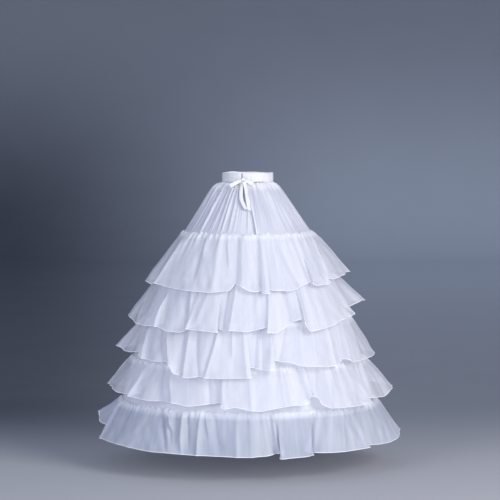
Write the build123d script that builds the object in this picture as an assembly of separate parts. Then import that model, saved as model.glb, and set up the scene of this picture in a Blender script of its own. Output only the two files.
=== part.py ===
"""Hooped petticoat: five gathered ruffles on a flared lining with four sprung hoops.

The frame has +Z up, with the origin on the axis at the middle of the waistband.
The tied opening of the waist faces -Y. All sizes are in millimetres.
"""
from build123d import *
import math
import os

# Cloth and sewing
cloth_thickness = 1.0
sewing_clearance = 0.3
mitre_limit_share = 0.6

# Waistband: a plain folded band with a tunnel for the drawstring and a slit where it comes out
waist_radius = 90.0
waistband_height = 34.0
waistband_ply = 1.2
tunnel_drop = 6.0
slit_width = 14.0
slit_turn_share = -0.0384

# Drawstring tape, its bow and its two hanging ends
tape_width = 13.0
tape_thickness = 1.2
tape_clearance = 0.3
drawstring_gores = 42
lead_spacing = 5.0
lead_straight = 2.0
knot_width = 17.0
knot_depth = 12.0
knot_height = 17.0
knot_bevel = 3.0
knot_clearance = 5.2
knot_shift = 6.0
loop_depth = 9.0
left_loop_length = 56.0
left_loop_slant = 26.0
right_loop_length = 42.0
right_loop_slant = 23.0
tie_end_spacing = 4.6
tie_end_stagger = 2.2
left_end_turn = 12.0
right_end_turn = 14.0

# Yoke: the gathered top of the skirt, with a placket below the slit
yoke_depth = 184.0
yoke_gathers = 40
yoke_top_gather_depth = 2.6
yoke_hem_gather_depth = 1.4
placket_width = 3.0
placket_depth = 150.0
placket_lean = 16.0
facing_width = 30.0
facing_overlap = 8.0

# Lining: radius at each ruffle's seam, height of each tier and the tail below the last seam
seam_radii = (236.0, 312.0, 374.0, 424.0, 466.0)
tier_depths = (156.0, 153.0, 154.0, 155.0)
lining_tail = 26.0
gores = 32

# Hoops: flat sprung strip in a sewn pocket, its ends joined by a sleeve
hoop_drop = 12.0
hoop_height = 6.0
hoop_thickness = 1.2
hoop_end_gap = 2.0
sleeve_length = 26.0
sleeve_wall = 0.8
sleeve_clearance = 0.1
pocket_width = 20.0
pocket_tape = 0.8

# Ruffles: fall from seam to hem, depth of the hem's folds and the shape of one fold
ruffle_drops = (207.0, 183.0, 186.0, 144.0, 152.0)
fold_depths = (22.0, 36.0, 30.0, 52.0, 46.0)
heading_gather_depth = 2.6
heading_clearance = 0.4
layer_clearance = 3.0
free_valley_stand_off = 8.0
valley_half_width = 21.0
panel_step = 46.0
swell_drop_share = 0.26
swell_rise_share = 0.38
shoulder_share = 0.92
hem_lift_share = 0.13
valley_limit_share = 0.3
swell_cycle_shares = (1.0, 0.86, 0.95, 0.9)

# Valleys of each ruffle: place round the skirt, as a share of a turn from the front, depth,
# and how far the panel after the valley hangs
ruffle_valley_shares = (
    ((-0.445, 1.0, 0.95), (-0.36, 0.8, 0.89), (-0.28, 1.0, 0.9), (-0.197, 1.0, 0.93), (-0.103, 0.5, 1.0),
     (-0.031, 1.0, 0.98), (0.03, 0.6, 0.95), (0.114, 1.0, 0.88), (0.169, 1.0, 0.82), (0.25, 0.8, 0.87),
     (0.34, 1.0, 0.94), (0.43, 0.6, 0.88)),
    ((-0.46, 1.0, 0.99), (-0.38, 0.7, 0.93), (-0.3, 1.0, 0.9), (-0.22, 0.8, 0.94), (-0.153, 0.6, 1.0),
     (-0.096, 1.0, 0.97), (-0.038, 0.8, 0.98), (0.03, 1.0, 0.95), (0.084, 1.0, 0.93), (0.178, 1.0, 0.7),
     (0.255, 0.7, 0.85), (0.33, 1.0, 0.95), (0.42, 0.8, 0.9)),
    ((-0.47, 0.8, 0.96), (-0.39, 1.0, 0.82), (-0.3, 0.7, 0.68), (-0.19, 1.0, 0.74), (-0.104, 1.0, 0.98),
     (-0.062, 0.5, 1.0), (0.008, 1.0, 0.87), (0.046, 0.9, 0.76), (0.09, 0.4, 0.83), (0.14, 1.0, 0.78),
     (0.208, 0.8, 0.76), (0.29, 1.0, 0.85), (0.37, 0.7, 0.95), (0.45, 1.0, 0.88)),
    ((-0.45, 1.0, 0.97), (-0.37, 0.8, 0.88), (-0.28, 1.0, 0.78), (-0.183, 1.0, 0.86), (-0.106, 1.0, 0.9),
     (-0.038, 1.0, 0.97), (0.03, 0.4, 0.9), (0.081, 1.0, 1.0), (0.175, 1.0, 0.92), (0.25, 0.7, 0.9),
     (0.33, 1.0, 0.97), (0.41, 0.8, 0.88), (0.48, 0.6, 0.93)),
    ((-0.45, 1.0, 0.94), (-0.38, 0.8, 0.97), (-0.31, 1.0, 0.92), (-0.235, 0.7, 0.9), (-0.165, 0.8, 0.92),
     (-0.092, 1.0, 0.94), (-0.04, 0.5, 0.96), (0.033, 1.0, 1.0), (0.075, 0.7, 0.94), (0.139, 0.9, 0.93),
     (0.19, 0.7, 0.95), (0.26, 1.0, 0.93), (0.33, 0.8, 0.96), (0.4, 1.0, 0.92), (0.47, 0.7, 0.95)),
)

# Route of a hanging tie end: outward from the knot's middle and down from its underside
tie_end_route = (
    (0.0, 0.0),
    (0.0, -10.0),
    (13.0, -25.0),
    (27.0, -45.0),
    (47.0, -66.0),
    (62.0, -88.0),
    (75.0, -103.5),
)
tie_end_run_share = 0.45

full_turn = 2.0 * math.pi

waist_top = waistband_height / 2.0
waist_bottom = -waist_top
tunnel_height = tape_width + 2.0 * tape_clearance
tunnel_depth = tape_thickness + 2.0 * tape_clearance
tunnel_radius = waist_radius + waistband_ply
waistband_radius = tunnel_radius + tunnel_depth + waistband_ply
slit_x = waist_radius * math.sin(full_turn * slit_turn_share)

seam_levels = [waist_bottom - yoke_depth]
for depth in tier_depths:
    seam_levels.append(seam_levels[-1] - depth)
lining_bottom = seam_levels[-1] - lining_tail
yoke_top = waist_bottom - sewing_clearance
yoke_hem = seam_levels[0] + sewing_clearance
yoke_hem_radius = seam_radii[0] - cloth_thickness - yoke_hem_gather_depth


def lining_radius(level):
    """Outer radius of the lining at a height, carried on in line below its last seam."""
    for upper in range(len(seam_levels) - 1):
        if level >= seam_levels[upper + 1] or upper == len(seam_levels) - 2:
            slope = (seam_radii[upper + 1] - seam_radii[upper]) / tier_depths[upper]
            return seam_radii[upper] + slope * (seam_levels[upper] - level)


def turned(radius, turn, level):
    """Point at a radius and height, a given angle round from the front towards +X."""
    return Vector(radius * math.sin(turn), -radius * math.cos(turn), level)


def facet(*corners):
    return Face(Wire.make_polygon(list(corners)))


def strip_of_facets(upper, lower):
    """Two triangles between each pair of points along two closed rows."""
    facets = []
    for here in range(len(upper)):
        following = (here + 1) % len(upper)
        facets.append(facet(upper[here], upper[following], lower[here]))
        facets.append(facet(upper[following], lower[following], lower[here]))
    return facets


def thickened(row):
    """The row moved outward so that the cloth between the two rows is of even thickness in plan."""
    outer = []
    for here, point in enumerate(row):
        arriving = point - row[here - 1]
        leaving = row[(here + 1) % len(row)] - point
        before = Vector(arriving.Y, -arriving.X, 0.0).normalized()
        after = Vector(leaving.Y, -leaving.X, 0.0).normalized()
        outward = (before + after).normalized()
        reach = cloth_thickness / max(outward.dot(after), mitre_limit_share)
        outer.append(point + outward * reach)
    return outer


def cloth_wall(rows):
    """Closed thin wall on rows of points that run round the skirt from the top row down."""
    outer_rows = [thickened(row) for row in rows]
    facets = strip_of_facets(outer_rows[0], rows[0])
    facets += strip_of_facets(outer_rows[-1], rows[-1])
    for face_rows in (rows, outer_rows):
        for upper, lower in zip(face_rows, face_rows[1:]):
            facets += strip_of_facets(upper, lower)
    return Solid(Shell(facets))


def ring_of_gores(profile):
    """Closed ring that carries a profile of radius and height round the skirt in flat gores."""
    facets = []
    for gore in range(gores):
        start = full_turn * (gore - 0.5) / gores
        end = full_turn * (gore + 0.5) / gores
        for here, (radius, level) in enumerate(profile):
            next_radius, next_level = profile[here - 1]
            facets.append(facet(
                turned(radius, start, level),
                turned(radius, end, level),
                turned(next_radius, end, next_level),
                turned(next_radius, start, next_level),
            ))
    return Solid(Shell(facets))


def ribbon(path, thickness):
    """Flat outline of a strip of even thickness along an open line of points in plan."""
    left = []
    right = []
    for here, point in enumerate(path):
        before = path[max(here - 1, 0)]
        after = path[min(here + 1, len(path) - 1)]
        arriving = (point - before).normalized() if here > 0 else (after - point).normalized()
        leaving = (after - point).normalized() if here < len(path) - 1 else arriving
        along = (arriving + leaving).normalized()
        reach = thickness / 2.0 / along.dot(arriving)
        across = Vector(-along.Y, along.X, 0.0) * reach
        left.append(point + across)
        right.append(point - across)
    return make_face(Polyline(*left, *reversed(right), close=True))


def drawstring_line():
    """Points of the drawstring's mid line round the tunnel, from one side of the slit to the other."""
    middle_radius = tunnel_radius + tunnel_depth / 2.0
    start = math.asin((slit_x + lead_spacing / 2.0) / middle_radius)
    end = math.asin((slit_x - lead_spacing / 2.0) / middle_radius) + full_turn
    turns = [start + (end - start) * corner / drawstring_gores for corner in range(drawstring_gores + 1)]
    return [turned(middle_radius, turn, 0) for turn in turns]


def make_waistband():
    tunnel = extrude(ribbon(drawstring_line(), tunnel_depth), tunnel_height / 2.0, both=True)
    slit = Box(slit_width, waistband_radius, 2.0 * waistband_height)
    band = Cylinder(waistband_radius, waistband_height) - Cylinder(waist_radius, 2.0 * waistband_height)
    band -= Pos(0, 0, -tunnel_drop) * tunnel
    band -= Pos(slit_x, -waistband_radius, 0) * slit
    return band


def knot_centre():
    out = waistband_radius + knot_clearance + knot_depth / 2.0
    return Vector(slit_x + knot_shift, -out, -tunnel_drop)


def make_drawstring():
    """Tape round the tunnel, with both ends turned out through the slit to the back of the knot."""
    line = drawstring_line()
    knot_back = knot_centre().Y + knot_depth / 2.0
    leads = []
    for end in (line[0], line[-1]):
        across = end.X + knot_shift
        leads.append([Vector(across, knot_back, 0), Vector(across, knot_back + lead_straight, 0)])
    path = leads[0] + line + leads[1][::-1]
    tape = extrude(ribbon(path, tape_thickness), tape_width / 2.0, both=True)
    return Pos(0, 0, -tunnel_drop) * tape


def bow_loop(length, slant, side):
    """Flattened loop of tape that leaves the knot sideways and slants down from it."""
    outside = SlotOverall(length + loop_depth, loop_depth)
    inside = SlotOverall(length + loop_depth - 2.0 * tape_thickness, loop_depth - 2.0 * tape_thickness)
    loop = extrude(outside - inside, tape_width / 2.0, both=True)
    middle = Pos(side * length / 2.0, 0, 0) * loop
    return Pos(knot_centre()) * Rot(0, side * slant, 0) * middle


def make_bow():
    knot = Box(knot_width, knot_depth, knot_height)
    knot = chamfer(knot.edges().filter_by(Axis.Y), knot_bevel)
    bow = Pos(knot_centre()) * knot
    bow += bow_loop(left_loop_length, left_loop_slant, -1.0)
    bow += bow_loop(right_loop_length, right_loop_slant, 1.0)
    return bow


def make_tie_end(side, turn):
    """Free end of the tape, from the underside of the knot down over the yoke."""
    radii = []
    points = [Vector(out, down, 0) for out, down in tie_end_route]
    for before, here, after in zip(points, points[1:], points[2:]):
        half_turn = math.radians((here - before).get_angle(after - here)) / 2.0
        shorter = min((here - before).length, (after - here).length)
        radii.append(tie_end_run_share * shorter / math.tan(half_turn))
    print("tie end radii", [round(radius, 1) for radius in radii])
    path = FilletPolyline(*points, radius=radii)
    strip = extrude(trace(path, tape_thickness).face(), tape_width / 2.0, both=True)
    start = knot_centre() + Vector(side * tie_end_spacing, -side * tie_end_stagger, -knot_height / 2.0)
    hanging = Plane(origin=start, x_dir=(0, -1, 0), z_dir=(-1, 0, 0))
    return Pos(start) * Rot(0, 0, turn) * Pos(-start) * (hanging * strip)


def yoke_row(level, radius, gather_depth):
    row = []
    for corner in range(2 * yoke_gathers):
        crest = gather_depth * (corner % 2)
        row.append(turned(radius + crest, full_turn * corner / (2 * yoke_gathers), level))
    return row


def placket_strip(width, depth):
    """Upright strip through the front of the yoke, along the placket's leaning line."""
    strip = Box(width, 2.0 * seam_radii[0], 2.0 * depth)
    return Pos(slit_x, -seam_radii[0], yoke_top) * Rot(0, -placket_lean, 0) * strip


def make_yoke():
    wall = cloth_wall([
        yoke_row(yoke_top, waist_radius, yoke_top_gather_depth),
        yoke_row(yoke_hem, yoke_hem_radius, yoke_hem_gather_depth),
    ])
    return wall - placket_strip(placket_width, placket_depth)


def facing_corners(level, radius):
    """Left and right corners of the facing, on a chord of the yoke's inside at the placket."""
    middle = slit_x + (yoke_top - level) * math.tan(math.radians(placket_lean))
    corners = []
    for across in (middle - facing_width / 2.0, middle + facing_width / 2.0):
        corners.append(Vector(across, -math.sqrt(radius ** 2 - across ** 2), level))
    return corners


def make_placket_facing():
    """Strip of cloth sewn inside the yoke, behind the placket."""
    bottom = yoke_top - placket_depth - facing_overlap
    fallen = (yoke_top - bottom) / (yoke_top - yoke_hem)
    top_radius = waist_radius - sewing_clearance
    bottom_radius = top_radius + fallen * (yoke_hem_radius - waist_radius)
    upper_left, upper_right = facing_corners(yoke_top, top_radius)
    lower_left, lower_right = facing_corners(bottom, bottom_radius)
    facing = extrude(facet(upper_left, upper_right, lower_left), cloth_thickness, dir=(0, 1, 0))
    facing += extrude(facet(upper_right, lower_right, lower_left), cloth_thickness, dir=(0, 1, 0))
    return facing


def hoop_middle_radius(level):
    """Radius of a hoop's mid line, with room for its sleeve under the sloping lining."""
    flat = math.cos(full_turn / (2 * gores))
    sleeve_half = hoop_thickness / 2.0 + sleeve_clearance + sleeve_wall
    sleeve_top = level + hoop_height / 2.0 + sleeve_clearance + sleeve_wall
    return lining_radius(sleeve_top) - (cloth_thickness + sewing_clearance + sleeve_half) / flat


def make_lining():
    outer = [(lining_radius(level), level) for level in seam_levels + [lining_bottom]]
    inner = [(radius - cloth_thickness, level) for radius, level in reversed(outer)]
    return ring_of_gores(outer + inner)


def make_hoop(level):
    """Open ring of strip, cut at the middle of one gore at the back."""
    radius = hoop_middle_radius(level)
    flat = radius * math.cos(full_turn / (2 * gores))
    path = [Vector(-hoop_end_gap / 2.0, flat, 0)]
    for gore in range(gores):
        turn = full_turn * (gore + 0.5) / gores
        path.append(Vector(-radius * math.sin(turn), radius * math.cos(turn), 0))
    path.append(Vector(hoop_end_gap / 2.0, flat, 0))
    strip = extrude(ribbon(path, hoop_thickness), hoop_height, dir=(0, 0, 1))
    return Pos(0, 0, level - hoop_height / 2.0) * strip


def make_sleeve(level):
    hole_depth = hoop_thickness + 2.0 * sleeve_clearance
    hole_height = hoop_height + 2.0 * sleeve_clearance
    sleeve = Box(sleeve_length, hole_depth + 2.0 * sleeve_wall, hole_height + 2.0 * sleeve_wall)
    sleeve -= Box(2.0 * sleeve_length, hole_depth, hole_height)
    flat = hoop_middle_radius(level) * math.cos(full_turn / (2 * gores))
    return Pos(0, flat, level) * sleeve


def make_pocket(level):
    """Tape sewn along both edges inside the lining, bulged inward round the hoop."""
    half_width = pocket_width / 2.0
    sleeve_half_height = hoop_height / 2.0 + sleeve_clearance + sleeve_wall
    sleeve_half_depth = hoop_thickness / 2.0 + sleeve_clearance + sleeve_wall
    bulge = hoop_middle_radius(level) - sleeve_half_depth - sewing_clearance
    seat = cloth_thickness + sewing_clearance
    top = level + half_width
    bottom = level - half_width
    return ring_of_gores([
        (lining_radius(top) - seat, top),
        (bulge, level + sleeve_half_height),
        (bulge, level - sleeve_half_height),
        (lining_radius(bottom) - seat, bottom),
        (bulge - pocket_tape, level - sleeve_half_height),
        (bulge - pocket_tape, level + sleeve_half_height),
    ])


# Stand-off of each ruffle's folds from the lining at its hem, from the lowest ruffle up
valley_stand_offs = [free_valley_stand_off]
crest_stand_offs = [free_valley_stand_off + fold_depths[-1]]


def crest_rise(stand_off, drop, fallen):
    """Stand-off of a crest a given way down its ruffle: a quick swell, then an even flare."""
    swell_fall = swell_drop_share * drop
    swell = swell_rise_share * stand_off
    if fallen < swell_fall:
        return heading_clearance + (swell - heading_clearance) * fallen / swell_fall
    return swell + (stand_off - swell) * (fallen - swell_fall) / (drop - swell_fall)


for tier in range(len(tier_depths) - 1, -1, -1):
    overlap = max(ruffle_drops[tier] - tier_depths[tier], 0.0)
    under = crest_rise(crest_stand_offs[0], ruffle_drops[tier + 1], overlap)
    valley = under + heading_gather_depth + cloth_thickness + layer_clearance
    valley_stand_offs.insert(0, valley)
    crest_stand_offs.insert(0, valley + fold_depths[tier])


def fold_points(tier):
    """Points of one ruffle's hem: turn, even turn at the heading, valley depth, crest swell and hang."""
    valleys = [(full_turn * place, depth, hang) for place, depth, hang in ruffle_valley_shares[tier]]
    hem_radius = lining_radius(seam_levels[tier] - ruffle_drops[tier]) + crest_stand_offs[tier]
    points = []
    for here, (start, depth, hang) in enumerate(valleys):
        end = valleys[(here + 1) % len(valleys)][0]
        hang_before = valleys[here - 1][2]
        span = (end - start) % full_turn
        half_width = min(valley_half_width / hem_radius, valley_limit_share * span)
        swell = swell_cycle_shares[(here + tier) % len(swell_cycle_shares)]
        panels = max(2, round((span - 2.0 * half_width) * hem_radius / panel_step))
        count = panels + 2
        points.append((start, start, depth, 0.0, (hang_before + hang) / 2.0))
        for step in range(panels + 1):
            turn = start + half_width + (span - 2.0 * half_width) * step / panels
            at_shoulder = step in (0, panels)
            crest = swell * (shoulder_share if at_shoulder else 1.0)
            points.append((turn, start + span * (step + 1) / count, 0.0, crest, hang))
    return points


def ruffle_row(tier, fallen_share):
    """Points round a ruffle a given share of the way from its seam to its hem."""
    drop = ruffle_drops[tier]
    crest_stand_off = crest_rise(crest_stand_offs[tier], drop, fallen_share * drop)
    valley_stand_off = heading_clearance + (valley_stand_offs[tier] - heading_clearance) * fallen_share
    row = []
    below_swell_share = max(fallen_share - swell_drop_share, 0.0) / (1.0 - swell_drop_share)
    for here, (turn, heading_turn, depth, crest, hang) in enumerate(fold_points(tier)):
        rise = max(crest, 1.0 - depth) if depth else crest
        stand_off = valley_stand_off + (crest_stand_off - valley_stand_off) * rise
        gather = heading_gather_depth * (1.0 - fallen_share) * (here % 2)
        lift = hem_lift_share * depth * fallen_share + (1.0 - hang) * below_swell_share
        level = seam_levels[tier] - drop * (fallen_share - lift)
        blended_turn = heading_turn + (turn - heading_turn) * fallen_share ** 0.5
        row.append(turned(lining_radius(level) + stand_off + gather, blended_turn, level))
    return row


def make_ruffle(tier):
    return cloth_wall([ruffle_row(tier, share) for share in (0.0, swell_drop_share, 1.0)])


nodes = {
    "waistband": make_waistband(),
    "drawstring": make_drawstring(),
    "drawstring_bow": make_bow(),
    "tie_end_left": make_tie_end(-1.0, left_end_turn),
    "tie_end_right": make_tie_end(1.0, right_end_turn),
    "skirt_yoke": make_yoke(),
    "placket_facing": make_placket_facing(),
    "skirt_lining": make_lining(),
}
for tier in range(len(seam_levels)):
    nodes[f"ruffle_{tier + 1}"] = make_ruffle(tier)
for tier, seam_level in enumerate(seam_levels[1:]):
    hoop_level = seam_level - hoop_drop
    nodes[f"hoop_{tier + 1}"] = make_hoop(hoop_level)
    nodes[f"hoop_sleeve_{tier + 1}"] = make_sleeve(hoop_level)
    nodes[f"hoop_pocket_{tier + 1}"] = make_pocket(hoop_level)

os.makedirs("parts", exist_ok=True)
for name, solid in nodes.items():
    export_step(solid, f"parts/{name}.step")
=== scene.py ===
"""Hooped petticoat of sheer white cloth, seen from the side where its waist is tied."""
import math

import bmesh
import bpy
import numpy as np
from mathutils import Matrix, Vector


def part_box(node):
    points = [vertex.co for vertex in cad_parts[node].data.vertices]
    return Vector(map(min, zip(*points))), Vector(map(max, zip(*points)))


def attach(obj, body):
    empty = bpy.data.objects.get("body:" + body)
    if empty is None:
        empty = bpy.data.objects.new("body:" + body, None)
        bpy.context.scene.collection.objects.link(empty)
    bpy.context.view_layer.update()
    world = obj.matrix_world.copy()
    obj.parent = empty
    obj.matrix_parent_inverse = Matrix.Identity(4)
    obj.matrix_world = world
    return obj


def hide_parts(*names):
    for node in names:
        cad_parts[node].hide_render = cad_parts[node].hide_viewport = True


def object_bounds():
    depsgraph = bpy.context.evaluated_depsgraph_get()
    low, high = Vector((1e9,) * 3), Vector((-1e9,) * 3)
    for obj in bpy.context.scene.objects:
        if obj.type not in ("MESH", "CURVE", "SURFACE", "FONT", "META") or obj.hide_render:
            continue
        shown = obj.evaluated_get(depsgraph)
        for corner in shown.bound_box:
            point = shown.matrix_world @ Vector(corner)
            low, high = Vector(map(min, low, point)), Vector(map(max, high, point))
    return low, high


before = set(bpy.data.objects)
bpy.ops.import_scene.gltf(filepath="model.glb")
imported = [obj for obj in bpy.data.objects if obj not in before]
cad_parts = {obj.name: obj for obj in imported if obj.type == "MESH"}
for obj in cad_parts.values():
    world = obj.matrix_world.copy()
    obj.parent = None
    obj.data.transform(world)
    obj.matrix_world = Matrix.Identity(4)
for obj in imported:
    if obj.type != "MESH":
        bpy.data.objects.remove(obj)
solid_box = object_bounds()


# Hoops
# Each hoop is a flat strip of sprung steel in white plastic, bent to a ring and cut to length.
# Its two ends meet inside a crimped metal sleeve at the far side of the skirt.
full_turn = 2.0 * math.pi
hoop_count = 4
hoop_light = (0.83, 0.84, 0.86, 1.0)
hoop_shade = (0.78, 0.79, 0.81, 1.0)
sleeve_light = (0.56, 0.56, 0.58, 1.0)
sleeve_shade = (0.42, 0.42, 0.44, 1.0)
strip_thickness = 0.0012
strip_edge_round = 0.0004
strip_edge_steps = 2
strip_steps = 224
strip_grain_scale = (40.0, 40.0, 1500.0)
strip_roughness = (0.38, 0.15)
strip_bump = (0.15, 0.0002)
sleeve_grain_scale = (120.0, 120.0, 2600.0)
sleeve_roughness = (0.28, 0.2)
sleeve_bump = (0.2, 0.0001)


class Signal:
    """Output of a shader node that is reckoned with like a number."""

    def __init__(self, recipe, socket):
        self.recipe = recipe
        self.socket = socket

    def maths(self, operation, *values):
        return self.recipe.node("ShaderNodeMath", dict(enumerate(values)), operation=operation)

    def __add__(self, other):
        return self.maths("ADD", self, other)

    def __radd__(self, other):
        return self.maths("ADD", other, self)

    def __sub__(self, other):
        return self.maths("SUBTRACT", self, other)

    def __rsub__(self, other):
        return self.maths("SUBTRACT", other, self)

    def __mul__(self, other):
        return self.maths("MULTIPLY", self, other)

    def __rmul__(self, other):
        return self.maths("MULTIPLY", other, self)

    def __truediv__(self, other):
        return self.maths("DIVIDE", self, other)

    def __rtruediv__(self, other):
        return self.maths("DIVIDE", other, self)

    def wave(self, period):
        """Swings between 0 and 1 once in each period."""
        return (self * (full_turn / period)).sine() * 0.5 + 0.5

    def sine(self):
        return self.maths("SINE", self)

    def between(self, low, high):
        """Runs smoothly from 0 at low to 1 at high."""
        sockets = {0: self, 1: low, 2: high}
        return self.recipe.node("ShaderNodeMapRange", sockets, interpolation_type="SMOOTHSTEP")


class Recipe:
    """A named material whose surface is one principled shader."""

    def __init__(self, name):
        self.material = bpy.data.materials.new(name)
        self.material.use_nodes = True
        self.tree = self.material.node_tree
        self.surface = self.tree.nodes["Principled BSDF"]

    def node(self, kind, sockets, output=0, **settings):
        """Adds a node, sets or links the sockets given by name or number and returns one output."""
        made = self.tree.nodes.new(kind)
        for key, value in settings.items():
            setattr(made, key, value)
        for key, value in sockets.items():
            self.feed(made.inputs[key], value)
        return Signal(self, made.outputs[output])

    def feed(self, socket, value):
        if isinstance(value, Signal):
            self.tree.links.new(value.socket, socket)
        else:
            socket.default_value = value

    def finish(self, **values):
        """Sets or links the shader's sockets, whose names are written with underscores."""
        for name, value in values.items():
            self.feed(self.surface.inputs[name.replace("_", " ")], value)
        return self.material

    def place(self, kind):
        """Where a point lies: Object on the piece, UV on the flat cloth in metres."""
        return self.node("ShaderNodeTexCoord", {}, kind)

    def axes(self, place):
        return [self.node("ShaderNodeSeparateXYZ", {0: place}, axis) for axis in range(3)]

    def noise(self, place, stretch, detail=3.0):
        """Cloudy values near one half, with so many clouds to the metre along each axis."""
        scaled = self.node("ShaderNodeMapping", {"Vector": place, "Scale": stretch})
        return self.node("ShaderNodeTexNoise", {"Vector": scaled, "Scale": 1.0, "Detail": detail})

    def colour(self, amount, none, full):
        return self.node("ShaderNodeMix", {0: amount, 6: none, 7: full}, 2, data_type="RGBA")

    def bump(self, height, strength, distance):
        return self.node("ShaderNodeBump", {"Strength": strength, "Distance": distance, "Height": height})


def swayed(pair, amount):
    """First of a pair of values, moved by an amount times the second."""
    return pair[0] + pair[1] * amount


def drawn_finish(name, light, shade, grain_scale, roughness, relief, metallic):
    """Plastic or metal with fine drawing lines along the piece."""
    recipe = Recipe(name)
    grain = recipe.noise(recipe.place("Object"), grain_scale)
    return recipe.finish(
        Base_Color=recipe.colour(grain, shade, light),
        Metallic=metallic,
        Roughness=swayed(roughness, grain),
        Normal=recipe.bump(grain, *relief),
    )


hoop_material = drawn_finish("hoop_plastic", hoop_light, hoop_shade, strip_grain_scale,
                             strip_roughness, strip_bump, metallic=0.0)
sleeve_material = drawn_finish("sleeve_steel", sleeve_light, sleeve_shade, sleeve_grain_scale,
                               sleeve_roughness, sleeve_bump, metallic=1.0)
for number in range(1, hoop_count + 1):
    low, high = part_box(f"hoop_{number}")
    sleeve_low, sleeve_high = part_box(f"hoop_sleeve_{number}")
    strip_radius = (sleeve_low[1] + sleeve_high[1]) / 2.0
    bpy.ops.object.select_all(action="DESELECT")
    bpy.ops.mesh.primitive_circle_add(vertices=strip_steps, radius=strip_radius, location=(0.0, 0.0, low[2]))
    hoop = bpy.context.object
    hoop.name = f"hoop_strip_{number}"
    bpy.ops.object.transform_apply(location=True)
    bpy.ops.object.mode_set(mode="EDIT")
    bpy.ops.mesh.select_all(action="SELECT")
    bpy.ops.mesh.extrude_region_move(TRANSFORM_OT_translate={"value": (0.0, 0.0, high[2] - low[2])})
    bpy.ops.mesh.select_all(action="SELECT")
    bpy.ops.mesh.normals_make_consistent(inside=False)
    bpy.ops.object.mode_set(mode="OBJECT")
    wall = hoop.modifiers.new("thickness", "SOLIDIFY")
    wall.thickness = strip_thickness
    wall.offset = 0.0
    bpy.ops.object.modifier_apply(modifier=wall.name)
    rounding = hoop.modifiers.new("edges", "BEVEL")
    rounding.width = strip_edge_round
    rounding.segments = strip_edge_steps
    bpy.ops.object.modifier_apply(modifier=rounding.name)
    bpy.ops.object.shade_smooth_by_angle()
    hoop.data.materials.append(hoop_material)
    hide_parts(f"hoop_{number}")
    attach(hoop, "root")
    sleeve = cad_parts[f"hoop_sleeve_{number}"]
    sleeve.data.materials.clear()
    sleeve.data.materials.append(sleeve_material)


# Lining
# A plain flared skirt of thin closely woven cloth that carries every ruffle and hoop.
# It hangs from the yoke and is stretched smooth by the hoops sewn inside it.
seam_radii = (0.236, 0.312, 0.374, 0.424, 0.466)
lining_inset = 0.0012
lining_tail = 0.026
lining_steps = 192
lining_rows = 40
lining_sag = 0.004
lining_sag_count = 16.0
lining_light = (0.82, 0.83, 0.89, 1.0)
lining_shade = (0.74, 0.755, 0.84, 1.0)
lining_cover = 0.93
# Paler colour by the seams: the gathers lie thick there, and it is partly painted light on them.
heading_pale_and_painted_light = (0.925, 0.93, 0.965, 1.0)
heading_depth = 0.044
heading_edge = 0.012
thread_pitch = 0.0011
thread_height = 0.12
slub_scale = (90.0, 9.0, 1.0)
streak_scale = (17.0, 2.4, 1.0)
streak_range = (0.3, 0.7)
crumple_scale = (15.0, 5.0, 1.0)
crumple_detail = 4.0
cover_swing = 0.5
cloth_roughness = (0.58, 0.12)
cloth_bump = (0.6, 0.0015)
cloth_sheen = 0.2
cloth_sheen_roughness = 0.4
tier_count = len(seam_radii)
seam_levels = [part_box(f"ruffle_{number}")[1][2] for number in range(1, tier_count + 1)]


def lining_radius(level):
    """Radius of the lining at a height, carried on in line below its last seam."""
    slope = (seam_radii[-1] - seam_radii[-2]) / (seam_levels[-1] - seam_levels[-2])
    inside = np.interp(level, seam_levels[::-1], seam_radii[::-1])
    return np.where(level < seam_levels[-1], seam_radii[-1] + slope * (level - seam_levels[-1]), inside)


def turned(radius, turn, level):
    """Points at a radius and level, an angle round from the front towards +X."""
    radius, turn, level = np.broadcast_arrays(radius, turn, level)
    return np.stack((radius * np.sin(turn), -radius * np.cos(turn), level), axis=-1)


def cloth_object(name, rows, flat_across, flat_down, closed, material):
    """Sheet through rows of points, with its place on the flat cloth in metres as a UV map."""
    count_down, count_across = rows.shape[:2]
    columns = count_across if closed else count_across - 1
    upper = (np.arange(count_down - 1) * count_across)[:, None]
    here = np.arange(columns)[None, :]
    following = (here + 1) % count_across
    lower = upper + count_across
    round_face = (upper + here, lower + here, lower + following, upper + following)
    faces = np.stack(np.broadcast_arrays(*round_face), -1)
    mesh = bpy.data.meshes.new(name)
    mesh.from_pydata(rows.reshape(-1, 3).tolist(), [], faces.reshape(-1, 4).tolist())
    left = here * flat_across / columns
    right = left + flat_across / columns
    top = (np.arange(count_down - 1) * flat_down / (count_down - 1))[:, None]
    bottom = top + flat_down / (count_down - 1)
    corners = [np.stack(np.broadcast_arrays(*corner), -1)
               for corner in ((left, top), (left, bottom), (right, bottom), (right, top))]
    mesh.uv_layers.new(name="flat_cloth").data.foreach_set("uv", np.stack(corners, axis=2).ravel())
    mesh.polygons.foreach_set("use_smooth", [True] * len(mesh.polygons))
    mesh.materials.append(material)
    piece = bpy.data.objects.new(name, mesh)
    bpy.context.collection.objects.link(piece)
    return piece


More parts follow.
